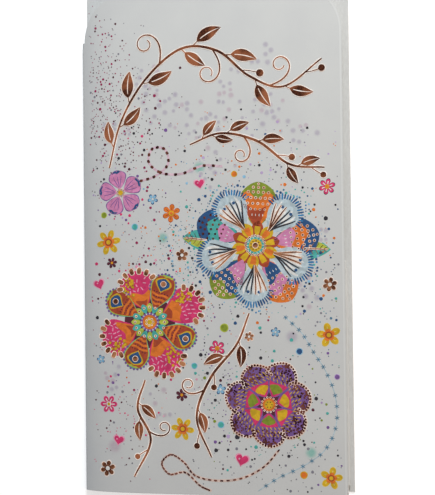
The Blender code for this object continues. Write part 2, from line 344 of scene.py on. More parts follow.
def smooth_route(places, step):
    """Points of a Catmull-Rom curve through the places, about a step apart."""
    places = [Vector(place) for place in places]
    padded = [places[0] * 2 - places[1]] + places + [places[-1] * 2 - places[-2]]
    reach = sum((after - before).length for before, after in zip(places, places[1:]))
    spans = len(places) - 1
    steps = max(spans, round(reach / step))
    route = []
    for index in range(steps + 1):
        travel = spans * index / steps
        span = min(int(travel), spans - 1)
        part = travel - span
        before, start, end, after = padded[span:span + 4]
        once = (end - before) * part
        twice = (before * 2 - start * 5 + end * 4 - after) * part ** 2
        thrice = (start * 3 - before - end * 3 + after) * part ** 3
        route.append((start * 2 + once + twice + thrice) / 2)
    return route


def ribbon(route, half_at, columns=2, dome=0.0, sides=(-1, 1)):
    """A stroke along a route, with half its width from a function of the share travelled."""
    rows = []
    last = len(route) - 1
    for index, point in enumerate(route):
        left = square_to((route[min(index + 1, last)] - route[max(index - 1, 0)]).normalized())
        half = max(half_at(index / last), 0.02)
        row = []
        for column in range(columns + 1):
            side = sides[0] + (sides[1] - sides[0]) * column / columns
            row.append((*(point - left * half * side), dome * (1 - side * side), 1.0))
        rows.append(row)
    return grid_shape(rows)


def taper(half):
    return lambda share: half * (0.35 + 0.65 * sin(pi * (0.12 + 0.76 * share)))


class Petal:
    """A petal's own flat space: out is a share of its length, side a share of its half width."""

    def __init__(self, middle, heading, start, length, half, belly, blunt, lean=0.0):
        self.middle = Vector(middle)
        self.heading = radians(heading)
        self.start, self.length, self.half = start, length, half
        self.belly, self.blunt, self.lean = belly, blunt, lean

    def at(self, out, side):
        out = min(max(out, 0.004), 0.996)
        width = self.half * sin(pi * out ** self.belly) ** self.blunt
        width *= 1 + 0.035 * sin(11 * out + 5 * self.heading) * side
        along = self.start + self.length * out
        aside = width * side + self.lean * out * out
        forward = ray(self.heading)
        return self.middle + forward * along + square_to(forward) * aside

    def patch(self, out_from=0.0, out_to=1.0, side_from=-1.0, side_to=1.0, wave=0.0, waves=5):
        """The part of the petal between two shares of its length, with wavy ends."""
        steps = max(2, ceil(self.length * (out_to - out_from) / GRID_STEP) + 2)
        columns = max(2, ceil(self.half * (side_to - side_from) / GRID_STEP))
        rows = []
        for i in range(steps + 1):
            share = i / steps
            if out_to > 0.95:
                share = 1 - (1 - share) ** 1.5
            row = []
            for j in range(columns + 1):
                side = side_from + (side_to - side_from) * j / columns
                ripple = wave * sin(waves * side + 3 * self.heading)
                near = out_from + (ripple if out_from > 0.02 else 0)
                far = out_to + (ripple if out_to < 0.98 else 0)
                row.append((*self.at(near + (far - near) * share, side), 0.0, 1.0))
            rows.append(row)
        return grid_shape(rows)

    def line(self, out_from, out_to, side_from, side_to, half):
        """A stroke that follows the petal's shape."""
        route = []
        count = max(4, ceil(self.length * (out_to - out_from) / 0.9))
        for i in range(count + 1):
            share = i / count
            side = side_from + (side_to - side_from) * share
            route.append(self.at(out_from + (out_to - out_from) * share, side))
        return ribbon(route, lambda share: half * sin(pi * (0.06 + 0.88 * share)) ** 0.5)

    def drop(self, out_from, length, width):
        """A drop that lies inside the petal."""
        start = self.start + self.length * out_from
        heading = degrees(self.heading)
        return Petal(self.middle, heading, start, self.length * length, self.half * width, 1.5, 0.8)

    def row(self, out, reach, gap):
        """Places in a row across the petal, at a share of its length."""
        width = (self.at(out, reach) - self.at(out, -reach)).length
        count = max(1, round(width / gap))
        return [self.at(out, reach * (2 * (index + 0.5) / count - 1)) for index in range(count)]

    def tip(self, out_from, gap):
        """Places about a gap apart round the petal's tip, with the direction square to its rim."""
        shares = [out_from + (1 - out_from) * step / 60 for step in range(61)]
        rim = [self.at(out, -1) for out in shares] + [self.at(out, 1) for out in reversed(shares)]
        travelled = 0.0
        wanted = gap / 2
        for here, after in zip(rim, rim[1:]):
            reach = (after - here).length
            while wanted <= travelled + reach:
                place = here + (after - here) * ((wanted - travelled) / reach)
                yield place, heading_of(here, after) - pi / 2
                wanted += gap
            travelled += reach


class Print:
    """One printed or stamped piece, made of thin closed shapes that lie on the cover.

    A shape's layer says how high it lies, and shapes made one after another differ a little,
    so that no two faces coincide. Its tint is the number of one of the piece's materials."""

    made = 0

    def __init__(self, name, slot, *materials):
        self.name, self.slot, self.materials = name, slot, materials
        self.points, self.faces, self.tints, self.density = [], [], [], []

    def add(self, layer, shape, tint=0):
        points, faces = shape
        Print.made += 1
        lift = FIRST_LAYER + LAYER_STEP * layer + SHAPE_STEP * (Print.made % SHAPE_LIFTS)
        first = len(self.points)
        count = len(points)
        self.points += [on_cover(x, y, lift + rise) for x, y, rise, _ in points]
        self.points += [on_cover(x, y, SUNK) for x, y, _, _ in points]
        self.density += [density for _, _, _, density in points] * 2
        edges = set()
        built = []
        for face in faces:
            built.append([first + corner for corner in face])
            built.append([first + count + corner for corner in reversed(face)])
            for here, after in zip(face, face[1:] + face[:1]):
                if (after, here) in edges:
                    edges.remove((after, here))
                else:
                    edges.add((here, after))
        for here, after in sorted(edges):
            top = first + after, first + here
            built.append([*top, first + count + here, first + count + after])
        self.faces += built
        self.tints += [tint] * len(built)

    def finish(self, *replaced):
        piece = build(self.name, self.points, self.faces, self.materials, self.tints, 50)
        density = piece.data.attributes.new("ink_density", "FLOAT", "POINT")
        density.data.foreach_set("value", self.density)
        solid = bmesh.new()
        solid.from_mesh(piece.data)
        bmesh.ops.recalc_face_normals(solid, faces=solid.faces)
        solid.to_mesh(piece.data)
        solid.free()
        hand_over(piece, "cover", self.slot, *replaced)


# Materials

def linear(code):
    """A linear colour from a hex colour code."""
    parts = [int(code[index:index + 2], 16) / 255 for index in (1, 3, 5)]
    return (*(p / 12.92 if p <= 0.04045 else ((p + 0.055) / 1.055) ** 2.4 for p in parts), 1.0)


def shaded(colour, gain, toward=0.0):
    """A colour made lighter or darker, and greyer if asked."""
    parts = colour[:3]
    grey = sum(parts) / 3
    return (*(min(1.0, (part * (1 - toward) + grey * toward) * gain) for part in parts), 1.0)


def feed(tree, node, inputs):
    """Gives a node's inputs, by name or number, a value, an output or a node's first output."""
    for key, value in inputs.items():
        if isinstance(value, bpy.types.Node):
            value = value.outputs[0]
        if isinstance(value, bpy.types.NodeSocket):
            tree.links.new(value, node.inputs[key])
        else:
            node.inputs[key].default_value = value
    return node


def new_node(tree, kind, inputs, operation=None):
    node = tree.nodes.new("ShaderNode" + kind)
    if operation:
        node.operation = operation
    return feed(tree, node, inputs)


# Numbers of a Mix node's colour sockets
MIX_FIRST = 6
MIX_SECOND = 7
MIX_RESULT = 2


class Surface:
    """A Principled material whose textures are sized in millimetres in the object's space."""

    def __init__(self, name, roughness, specular, metallic=0.0):
        self.material = bpy.data.materials.new(name)
        self.material.use_nodes = True
        self.tree = self.material.node_tree
        self.shader = self.tree.nodes["Principled BSDF"]
        self.shade({"Roughness": roughness, "Specular IOR Level": specular, "Metallic": metallic})
        self.space = self.tree.nodes.new("ShaderNodeTexCoord").outputs["Object"]
        self.height = None

    def shade(self, inputs):
        feed(self.tree, self.shader, inputs)

    def node(self, kind, inputs, operation=None):
        return new_node(self.tree, kind, inputs, operation)

    def noise(self, size, detail=2.0, distortion=0.0, stretch=None):
        """Noise with features of a size in millimetres, stretched along an axis if asked."""
        space = self.space
        if stretch:
            space = self.node("Mapping", {"Scale": stretch, "Vector": space})
        values = {"Scale": 1 / (size * MM), "Detail": detail, "Distortion": distortion}
        return self.node("TexNoise", {**values, "Vector": space})

    def level(self, source, low, high, low_to, high_to):
        """The source's range low to high mapped to another range."""
        values = {"From Min": low, "From Max": high, "To Min": low_to, "To Max": high_to}
        return self.node("MapRange", {**values, "Value": source})

    def mix(self, source, low, high, first, second, most=1.0):
        """Two colours mixed as the source goes from low to high, with a largest share."""
        node = self.tree.nodes.new("ShaderNodeMix")
        node.data_type = "RGBA"
        share = self.level(source, low, high, 0, most)
        feed(self.tree, node, {"Factor": share, MIX_FIRST: first, MIX_SECOND: second})
        return node.outputs[MIX_RESULT]

    def colour(self, *mixed):
        self.shade({"Base Color": self.mix(*mixed)})

    def rough(self, source, low, high):
        """Roughness between two values, as a noise goes through most of its range."""
        self.shade({"Roughness": self.level(source, 0.3, 0.7, low, high)})

    def bump(self, source, depth):
        """Relief of a depth in millimetres, on top of what is there."""
        below = {"Normal": self.height} if self.height else {}
        self.height = self.node("Bump", {"Distance": depth * MM, "Height": source, **below})
        self.shade({"Normal": self.height})


# Tones of the card and the glue, each with a second one for its faint clouds or fibres
PAPER = (linear("#D7D8D7"), linear("#D3D4D4"))
# The next tone is a painted highlight, for the paler line along the cover's lit edge
PAPER_HIGHLIGHT = (linear("#DEDFDE"), linear("#DEDFDE"))
PAPER_INSIDE = (linear("#D9DAD9"), linear("#D2D2D1"))
PAPER_CORE = (linear("#EFEEEC"), linear("#DEDDDA"))
GLUE = (linear("#D9D2BD"), linear("#C9C0A6"))
WASH_DEPTH = 0.22


def coat(surface):
    """The coated card's soft sheen and fine even tooth."""
    surface.rough(surface.noise(1.6, 3.0), 0.52, 0.6)
    surface.bump(surface.noise(0.16), 0.0012)


def satin_card(name, tones=PAPER):
    """Coated card, with very slight waves."""
    surface = Surface(name, 0.55, 0.3)
    surface.colour(surface.noise(14, 3.0), 0.35, 0.65, *tones)
    surface.bump(surface.noise(26, 1.0), 0.04)
    coat(surface)
    return surface.material


def uncoated_card(name):
    """The card's inner side: matt, with short fibres."""
    surface = Surface(name, 0.68, 0.3)
    fibres = surface.noise(0.9, 4.0, 1.2, (1.0, 0.35, 1.0))
    surface.colour(fibres, 0.35, 0.68, *PAPER_INSIDE)
    surface.rough(fibres, 0.62, 0.76)
    surface.bump(surface.noise(26, 1.0), 0.05)
    surface.bump(fibres, 0.006)
    return surface.material


def cut_card(name):
    """The cut edge: brighter core fibres in layers along the edge."""
    surface = Surface(name, 0.8, 0.2)
    plies = surface.noise(0.35, 3.0, 0.4, (0.15, 0.15, 4.0))
    surface.colour(plies, 0.35, 0.65, *PAPER_CORE)
    surface.bump(plies, 0.012)
    return surface.material


def dried_glue(name):
    surface = Surface(name, 0.45, 0.5)
    skin = surface.noise(1.4, 4.0, 0.6)
    surface.colour(skin, 0.35, 0.65, *GLUE)
    surface.rough(skin, 0.35, 0.55)
    surface.bump(skin, 0.02)
    return surface.material


def ink(name, code):
    """Printed colour with the uneven wash and the fine grain of painted artwork."""
    base = linear(code)
    surface = Surface(name, 0.53, 0.3)
    wash = surface.noise(2.6, 4.0, 1.4)
    grain = surface.noise(0.22)
    dark = shaded(base, 1 - WASH_DEPTH)
    washed = surface.mix(wash, 0.34, 0.66, dark, shaded(base, 1 + WASH_DEPTH * 0.7))
    surface.colour(grain, 0.52, 0.75, washed, shaded(base, 1.12, 0.25), 0.22)
    surface.rough(wash, 0.48, 0.58)
    surface.bump(grain, 0.0015)
    return surface.material


def soft_ink(name, code, strength):
    """A soft spot of colour that fades into the card at its rim."""
    surface = Surface(name, 0.55, 0.3)
    reader = surface.tree.nodes.new("ShaderNodeAttribute")
    reader.attribute_name = "ink_density"
    cloud = surface.level(surface.noise(0.9, 3.0, 0.8), 0.3, 0.7, 0.72, 1.0)
    amount = surface.node("Math", {0: reader.outputs["Fac"], 1: cloud}, "MULTIPLY")
    card = surface.mix(surface.noise(14, 3.0), 0.35, 0.65, *PAPER)
    surface.colour(amount, 0, 1, card, linear(code), strength)
    coat(surface)
    return surface.material


def copper(name, dark, light, patch):
    """Stamped foil: a metal whose colour is painted in patches and fine flecks from brown to bright
    copper, as painted reflection.
    """
    surface = Surface(name, 0.26, 0.5, 1.0)
    fine = surface.noise(0.5, 3.0, 0.8)
    bright = linear(light)
    painted_reflection = surface.mix(surface.noise(patch, 2.0, 0.5), 0.42, 0.62, linear(dark), bright)
    surface.colour(fine, 0.45, 0.75, painted_reflection, bright, 0.5)
    surface.rough(fine, 0.2, 0.36)
    surface.bump(fine, 0.006)
    surface.bump(surface.noise(2.4, 1.0), 0.02)
    return surface.material


# The card itself

def row_shares(count, length):
    """Even shares along a column, with one close to each end."""
    margin = EDGE_MARGIN / length
    inner = [margin + (1 - 2 * margin) * index / (count - 3) for index in range(count - 2)]
    return [0.0] + inner + [1.0]


def cover_places():
    """Columns of places for the cover and the spine roll in one sheet."""
    first = fold_end + CREASE_GAP * cos(SPRING) + CORNER_RADIUS
    last = cover_width - CORNER_RADIUS
    corner = []
    for step in range(CORNER_STEPS + 1):
        angle = pi / 2 * step / CORNER_STEPS
        corner.append((CORNER_RADIUS * sin(angle), cover_height - CORNER_RADIUS * (1 - cos(angle))))
    roll = spread(fold_end - roll_length, first - CORNER_RADIUS, ROLL_STEP)[:-1]
    stops = [(across, cover_height - CORNER_RADIUS) for across in roll]
    stops += [(first - away, top) for away, top in reversed(corner)]
    stops += [(across, cover_height) for across in spread(first, last, COVER_STEPS[0])[1:-1]]
    stops += [(last + away, top) for away, top in corner]
    count = min(len(spread(0, top, COVER_STEPS[1], EDGE_MARGIN)) for _, top in stops)
    return [[(across, share * top) for share in row_shares(count, top)] for across, top in stops]


def back_places():
    rows = spread(pocket_bottom, cover_height, BACK_STEP, EDGE_MARGIN)
    columns = spread(0, back_right, BACK_STEP, EDGE_MARGIN)
    return [[(across, along) for along in rows] for across in columns]


def pocket_places():
    """Columns across the pocket: round the bottom fold, then up to the mouth with its notch."""
    middle = (pocket_left + pocket_right) / 2
    half_turn = pi * roll_radius
    round_the_fold = spread(-half_turn, 0, half_turn / FOLD_STEPS)[:-1]
    columns = []
    for across in spread(pocket_left, pocket_right, POCKET_STEP, EDGE_MARGIN):
        off = (across - middle) / (NOTCH_WIDTH / 2)
        mouth = pocket_mouth - pocket_bottom
        if abs(off) < 1:
            mouth -= NOTCH_DEPTH * cos(off * pi / 2) ** 2
        flat = [share * mouth for share in row_shares(POCKET_ROWS, mouth)]
        columns.append([(across, along) for along in round_the_fold + flat])
    return columns


def add_card():
    coated = satin_card("card_coated")
    inner = uncoated_card("card_inner_side")
    cut = cut_card("card_cut_edge")
    folded = board("cover_and_spine", cover_places(), on_cover, [coated, inner, cut])
    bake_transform(folded)
    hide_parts("front_cover", "spine_fold")
    back = board("back_board", back_places(), on_back, [inner, coated, cut])
    hand_over(back, "back", "card_board", "back_panel")
    pocket = board("pocket_sheet", pocket_places(), on_pocket, [coated, inner, cut])
    hand_over(pocket, "back", "card_board", "pocket_fold", "pocket_panel")
    for kind, material in (("pocket_tab_", coated), ("glue_line_", dried_glue("glue_dried"))):
        for side in ("left", "right"):
            materials = frame["nodes"][kind + side].data.materials
            materials.clear()
            materials.append(material)


def add_edge_highlight():
    """A painted highlight: a paler line along the cover's free edge and its outer corner, for the
    light that the cut edge catches.
    """
    middle = Vector((cover_width - CORNER_RADIUS, cover_height - CORNER_RADIUS))
    route = [Vector((cover_width - HIGHLIGHT_INSET, along)) for along in spread(0.6, middle.y, 3.0)]
    for turn in range(4, 93, 4):
        route.append(middle + ray(radians(turn)) * (CORNER_RADIUS - HIGHLIGHT_INSET))
    rim = Print("cover_edge_highlight", "card_board", satin_card("card_edge_highlight", PAPER_HIGHLIGHT))
    rim.add(0, ribbon(route, lambda share: HIGHLIGHT_HALF, 2, 0.01))
    rim.finish()


# Copper foil branches as shares of the cover's width, as the model has them: the name, the
# stem's places, and each limb's place along the stem, angle, length, curl and kind
BRANCHES = (
    ("foil_vine", (
        (0.1, 0.68), (0.15, 0.5), (0.25, 0.34), (0.39, 0.23),
        (0.53, 0.245), (0.65, 0.345), (0.78, 0.39), (0.925, 0.29),
    ), (
        (0.06, 42, 0.105, -34), (0.12, -46, 0.115, 34), (0.2, 44, 0.125, -30),
        (0.27, -48, 0.125, 34), (0.34, 40, 0.3, 430, "tendril"), (0.43, -66, 0.115, 20),
        (0.47, 48, 0.13, -34), (0.55, -38, 0.29, -430, "tendril"), (0.6, 46, 0.125, -34),
        (0.68, 40, 0.085, -20, "berry"), (0.74, -46, 0.12, 30), (0.8, 38, 0.27, 420, "tendril"),
        (0.86, -44, 0.11, 30), (0.94, -34, 0.075, 20, "berry"),
    )),
    ("foil_spray", ((0.42, 0.6), (0.54, 0.56), (0.68, 0.595), (0.8, 0.685), (0.93, 0.7)), (
        (0.1, 42, 0.09, -30), (0.17, -46, 0.085, 30), (0.29, 44, 0.095, -30),
        (0.4, -38, 0.22, -420, "tendril"), (0.5, 44, 0.1, -30), (0.64, 42, 0.07, -20, "berry"),
        (0.72, -46, 0.09, 30), (0.8, 44, 0.09, -30), (0.9, -40, 0.065, 20, "berry"),
    )),
    ("foil_stem_large", ((0.64, 1.245), (0.59, 1.365), (0.49, 1.49), (0.435, 1.64), (0.49, 1.79)), (
        (0.22, 46, 0.1, -30), (0.33, -44, 0.1, 30), (0.46, 44, 0.065, -20, "berry"),
        (0.58, -38, 0.2, -430, "tendril"), (0.7, 44, 0.095, -30), (0.84, -42, 0.065, 20, "berry"),
    )),
    ("foil_stem_small", ((0.235, 1.5), (0.205, 1.61), (0.255, 1.73), (0.19, 1.87)), (
        (0.26, 68, 0.09, -20), (0.42, -44, 0.09, 30), (0.58, 38, 0.19, 420, "tendril"),
        (0.76, -44, 0.06, 20, "berry"),
    )),
)
STEM_HALF = 0.45
TENDRIL_HALF = 0.30
TIP_HALF = 0.17
FOIL_DOME = 0.03
# How far the pale foil, a painted highlight, reaches beyond the foil's strokes and dots
HIGHLIGHT_WIDTH = 0.2
DOT_HIGHLIGHT_WIDTH = 0.17
KEEP_OFF = 1.2

# A leaf's half width, its stalk and a berry's radius as shares of the limb's length, and half
# the gap along a leaf's middle as a share of its half width
LEAF_HALF = 0.17
LEAF_STALK = 0.2
BERRY_RADIUS = 0.15
MIDRIB_HALF = 0.08
LIMB_STEPS = 26
TENDRIL_STEPS = 60

# Numbers of the foil pieces' materials, after the plain foil
# The pale foil round the stamped shapes is a painted highlight
HIGHLIGHT_RIM = 1
# The dark foil is dark foil on flakes and beads, and painted shade on dots that no light catches
DARK_AND_SHADED_FOIL = 2


class Stamp(Print):
    """Foil with a painted highlight round it: each shape is added with a wider, flat, pale one below,
    for the light that the pressed rim catches.
    """

    def stroke(self, route, half_at, sides=(-1, 1)):
        self.add(FOIL_LAYER, ribbon(route, half_at, 4, FOIL_DOME, sides))
        if sides == (-1, 1):
            self.add_highlight_rim(ribbon(route, lambda share: half_at(share) + HIGHLIGHT_WIDTH))

    def add_highlight_rim(self, shape):
        self.add(HIGHLIGHT_LAYER, shape, HIGHLIGHT_RIM)

    def dot(self, middle, radius, foil=0):
        self.add(FOIL_LAYER, disc(middle, radius, FOIL_DOME), foil)
        self.add_highlight_rim(disc(middle, radius + DOT_HIGHLIGHT_WIDTH))

    def bead(self, middle, length, width, turn):
        self.add(FOIL_LAYER, dash(middle, length, width, turn, FOIL_DOME))
        self.add_highlight_rim(dash(middle, length + 2 * HIGHLIGHT_WIDTH, width + 2 * HIGHLIGHT_WIDTH, turn))

    def bloom(self, middle, radius, petals, turn):
        self.add(FOIL_LAYER, flower(middle, radius, petals, turn, 0.4, FOIL_DOME))
        self.add_highlight_rim(flower(middle, radius + HIGHLIGHT_WIDTH, petals, turn, 0.45))


def add_limb(piece, stem, place, angle, share, curl, kind="leaf"):
    """One leaf, berry or tendril of a foil branch."""
    index = round(place * (len(stem) - 1))
    length = share * cover_width
    along = stem[index + 1] - stem[index - 1]
    heading = atan2(along.y, along.x) + radians(angle)
    steps, power = (TENDRIL_STEPS, 2) if kind == "tendril" else (LIMB_STEPS, 1)
    route = [stem[index].copy()]
    for step in range(steps):
        turn = heading + radians(curl) * ((step + 0.5) / steps) ** power
        route.append(route[-1] + ray(turn) * (length / steps))
    taken.extend((point.x, point.y, KEEP_OFF) for point in route[::3])
    if kind == "tendril":
        piece.stroke(route, lambda share: TENDRIL_HALF + (TIP_HALF - TENDRIL_HALF) * share)
        return
    if kind == "berry":
        piece.stroke(route[:-5], lambda share: TIP_HALF)
        back = (route[-2] - route[-1]).normalized() * BERRY_RADIUS * length
        piece.dot(route[-1] + back, BERRY_RADIUS * length + TIP_HALF)
        return
    first = int(steps * LEAF_STALK)
    blade = route[first:]

    def half_at(share):
        out = (first + share * (len(blade) - 1)) / steps
        along_blade = max(out - LEAF_STALK, 0) / (1 - LEAF_STALK)
        return TIP_HALF + length * LEAF_HALF * sin(pi * along_blade ** 0.8)

    piece.stroke(route[: steps // 3 + 1], lambda share: TIP_HALF)
    piece.stroke(blade, half_at, (-1, -MIDRIB_HALF))
    piece.stroke(blade, half_at, (MIDRIB_HALF, 1))
    piece.add_highlight_rim(ribbon(blade, lambda share: half_at(share) + HIGHLIGHT_WIDTH))


def add_branch(name, shares, limbs, materials):
    places = [(across * cover_width, cover_height - down * cover_width) for across, down in shares]
    stem = smooth_route(places, 0.8)

    def stem_half(share):
        return TIP_HALF + (STEM_HALF - TIP_HALF) * sin(pi * (0.1 + 0.8 * share))

    piece = Stamp(name + "_stamped", "copper_foil", *materials)
    piece.stroke(stem, stem_half)
    taken.extend((point.x, point.y, KEEP_OFF) for point in stem[::2])
    for limb in limbs:
        add_limb(piece, stem, *limb)
    piece.finish(name)


# Printed artwork: three round blossoms, a small one, leaves, scattered motifs and dotted trails

def put(name, layer, shape):
    inks[name].add(layer, shape)


# Dark foil on flakes and beads, and painted shade on dots that no light catches
def put_dark_and_shaded(shape):
    details.add(FOIL_LAYER, shape, DARK_AND_SHADED_FOIL)


def beaded_petal(petal, tip, band, core, lit):
    """Patches of paint with wavy borders and rows of foil dots, dark where no light catches them."""
    put(tip, 1, petal.patch())
    put(band, 3, petal.patch(0.04, 0.72, -0.88, 0.88, 0.07))
    put(core, 4, petal.patch(0.04, 0.46, -0.5, 0.84, 0.06, 4))
    for place in petal.row(0.30, 0.6, 1.1):
        put("white", 7, dash(place, 0.8, 0.26, petal.heading))
    for out, reach, radius in (
        (0.42, 0.62, 0.27), (0.54, 0.72, 0.31), (0.66, 0.80, 0.35),
        (0.78, 0.78, 0.38), (0.88, 0.64, 0.36), (0.955, 0.34, 0.3),
    ):
        for place in petal.row(out, reach, 1.6):
            if lit:
                details.dot(place, radius)
            else:
                put_dark_and_shaded(disc(place, radius + 0.08, FOIL_DOME))


def veined_petal(petal, rng):
    """A pale petal with dark veins, a fringe of blue strokes and dots beyond its tip."""
    put("white", 2, petal.patch())
    put("mist", 4, petal.patch(0.03, 0.94, -0.9, 0.9, 0.012, 9))
    for side in (-0.58, -0.28, 0.0, 0.3, 0.57):
        start = rng.uniform(0.34, 0.46)
        half = rng.uniform(0.32, 0.5)
        put("white", 5, petal.line(start, start + 0.36, 0.75 * side, side, half))
    for side in (-0.72, -0.43, -0.14, 0.14, 0.43, 0.72):
        route = []
        for step in range(15):
            out = 0.08 + (0.7 - 0.16 * abs(side)) * step / 14
            route.append(petal.at(out, side * (0.3 + 0.7 * step / 14)))
        if side < 0:
            put("black", 7, ribbon(route, taper(0.28)))
        else:
            details.stroke(route, taper(0.25))
    for side in (-0.3, 0.32):
        put("blue", 7, disc(petal.at(0.70, side), 0.56))
    for place, turn in petal.tip(0.6, 0.92):
        size = (rng.uniform(1.6, 2.5), rng.uniform(0.5, 0.68))
        stroke = dash(place, *size, turn + rng.uniform(-0.1, 0.1))
        put(rng.choice(("blue", "azure")), 7, stroke)
    for place, turn in petal.tip(0.5, 0.8):
        beyond = place + ray(turn) * rng.uniform(1.0, 2.8)
        name = rng.choice(("blue", "sky", "azure", "teal", "steel"))
        put(name, 0, disc(beyond, rng.uniform(0.18, 0.5)))


def dashed_petal(petal, rng):
    """Strong pink with pale dashes, a wavy orange patch, yellow dabs and foil ovals at the rim."""
    put("pink", 1, petal.patch())
    put("orange", 3, petal.patch(0.03, 0.44, -0.82, 0.82, 0.07, 4))
    put("rust", 4, petal.patch(0.03, 0.24, -0.62, 0.62, 0.03, 4))
    for out in (0.52, 0.63, 0.74, 0.86):
        for place in petal.row(out, 0.84 - 0.25 * max(out - 0.6, 0) / 0.3, 1.5):
            if rng.random() < 0.85:
                length = rng.uniform(1.1, 1.5)
                put("blush", 7, dash(place, length, 0.38, petal.heading + rng.uniform(-1.2, 1.2)))
    for _ in range(20):
        place = petal.at(rng.uniform(0.42, 0.86), rng.uniform(0.12, 0.82))
        put("rust", 8, disc(place, rng.uniform(0.5, 0.62)))
        put("yellow", 9, flower(place, rng.uniform(0.42, 0.6), 5, rng.uniform(0, 6), 0.5))
    for place, turn in petal.tip(0.6, 2.7):
        details.bead(place, 2.2, 1.5, turn)


def drop_petal(petal):
    """Rust with dotted stripes, a navy drop that holds a foil disc and a scalloped rim."""
    put("teal", 2, petal.patch())
    put("lime", 4, petal.patch(0.03, 0.955, -0.93, 0.93, 0.008, 9))
    put("rust", 5, petal.patch(0.03, 0.905, -0.85, 0.85, 0.01, 9))
    for out in (0.14, 0.26, 0.38):
        put("orange", 6, petal.patch(out, out + 0.055, -0.8, 0.8, 0.02, 5))
        for place in petal.row(out + 0.09, 0.7, 0.9):
            put("maroon", 7, disc(place, 0.24))
    drop = petal.drop(0.50, 0.36, 0.52)
    put("yellow", 6, petal.drop(0.47, 0.42, 0.66).patch())
    put("blue", 7, drop.patch())
    details.dot(drop.at(0.6, 0), petal.half * 0.2)
    for place, _ in petal.tip(0.45, 1.25):
        put("purple", 7, disc(place, 0.42))


def flaked_petal(petal, rng, drop_ink, base):
    """Purple with dark foil flakes that crowd towards the tip, yellow strokes and a drop."""
    put("purple", base, petal.patch())
    put("pink", base + 2, petal.patch(0.03, 0.42, -0.7, 0.7, 0.02, 4))
    put(drop_ink, base + 3, petal.drop(0.08, 0.3, 0.46).patch())
    for out, reach in ((0.47, 0.86), (0.57, 0.8), (0.67, 0.7)):
        for place in petal.row(out, reach, 1.3):
            put("yellow", 7, dash(place, 1.2, 0.3, petal.heading + 0.6))
    for _ in range(90):
        out = 1 - rng.random() ** 1.5 * 0.5
        side = rng.uniform(-0.9, 0.9)
        if out < 0.98 - 0.16 * side * side:
            radius = rng.uniform(0.2, 0.4)
            phase = rng.uniform(0, 6)
            put_dark_and_shaded(disc(petal.at(out, side), radius, 0.02, rings=1, wobble=0.22, phase=phase))
    for place, _ in petal.tip(0.5, 1.0):
        details.dot(place, 0.42, DARK_AND_SHADED_FOIL)


def eye(middle, discs, rings):
    """A blossom's centre: discs from the outside in, then rings of dots, of foil or of an ink."""
    for layer, (name, radius, wobble) in enumerate(discs):
        put(name, 5 + layer, disc(middle, radius, wobble=wobble, phase=layer))
    for radius, count, size, *name in rings:
        for index in range(count):
            place = around(middle, radius, 2 * pi * index / count)
            if name:
                put(*name, 8, disc(place, size))
            else:
                details.dot(place, size)


def leaf(middle, heading):
    """A painted leaf behind a blossom, lighter on one side, with a foil midrib."""
    blade = Petal(middle, heading, 13, 12.5, 3.4, 0.95, 0.9)
    put("teal", 0, blade.patch())
    put("lime", 1, blade.patch(0.06, 0.95, 0.06, 0.8))
    details.stroke([blade.at(0.3 + 0.62 * step / 12, 0.0) for step in range(13)], taper(0.15))
    for out in (0.45, 0.58, 0.70, 0.81):
        for side in (-1, 1):
            route = [blade.at(out + 0.09 * step / 4, side * 0.62 * step / 4) for step in range(5)]
            details.add(FOIL_LAYER, ribbon(route, taper(0.09), 2, 0.02))


def add_large_blossom(middle):
    rng = random.Random(11)
    plan = (
        ("blue", "orange", "orchid"), ("green", "orange", "rust"), ("blue", "teal", "orchid"),
        ("green", "blue", "orchid"), ("orange", "orchid", "blue"),
    )
    for index, heading in enumerate((8, 47, 83, 121, 155, 193, 229, 268, 303, 338)):
        if index % 5 == 4:
            leaf(middle, heading + 18)
        aim = heading + rng.uniform(-3, 3)
        length = 16.5 * rng.uniform(0.95, 1.04)
        petal = Petal(middle, aim, 5.5, length, 6.2, 1.5, 0.6, rng.uniform(-0.8, 0.8))
        if index % 2:
            petal.length *= 0.9
            veined_petal(petal, rng)
        else:
            # Petals that point away from the light get dark foil dots as painted shade
            beaded_petal(petal, *plan[index // 2], not 90 < heading < 200)
    for index in range(10):
        petal = Petal(middle, 36 * index + 10, 2.2, 6.2, 2.0, 1.3, 0.7)
        put("yellow" if index % 2 else "rust", 4 + index % 2, petal.patch())
        put("orange" if index % 2 else "yellow", 6, petal.patch(0.2, 0.7, -0.5, 0.5))
    discs = ("maroon", 3.6, 0.01), ("teal", 3.0, 0.01), ("yellow", 2.2, 0.02)
    rings = (3.3, 20, 0.26), (2.6, 14, 0.2, "white"), (0, 1, 0.9), (1.55, 9, 0.22, "maroon")
    eye(middle, discs, rings)


def add_pink_blossom(middle):
    rng = random.Random(23)
    put("maroon", 0, disc(middle, 9))
    for index, heading in enumerate((20, 67, 110, 152, 200, 246, 291, 333)):
        aim = heading + rng.uniform(-3, 3)
        length = 14.6 * rng.uniform(0.94, 1.05)
        petal = Petal(middle, aim, 4.6, length, 6.3, 1.55, 0.55, rng.uniform(-0.8, 0.8))
        if index % 2:
            petal.half = 4.6
            petal.length *= 0.9
            drop_petal(petal)
        else:
            dashed_petal(petal, rng)
    for index in range(16):
        petal = Petal(middle, 22.5 * index, 3.0, 3.6, 1.1, 1.2, 0.7)
        put("teal" if index % 2 else "lime", 4 + index % 2, petal.patch())
    eye(middle, (), [(5.2, 16, 0.3)])
    discs = ("purple", 3.3, 0.01), ("orange", 2.5, 0.02), ("yellow", 1.7, 0.02)
    eye(middle, discs, ((2.9, 16, 0.22, "white"), (1.2, 7, 0.24)))


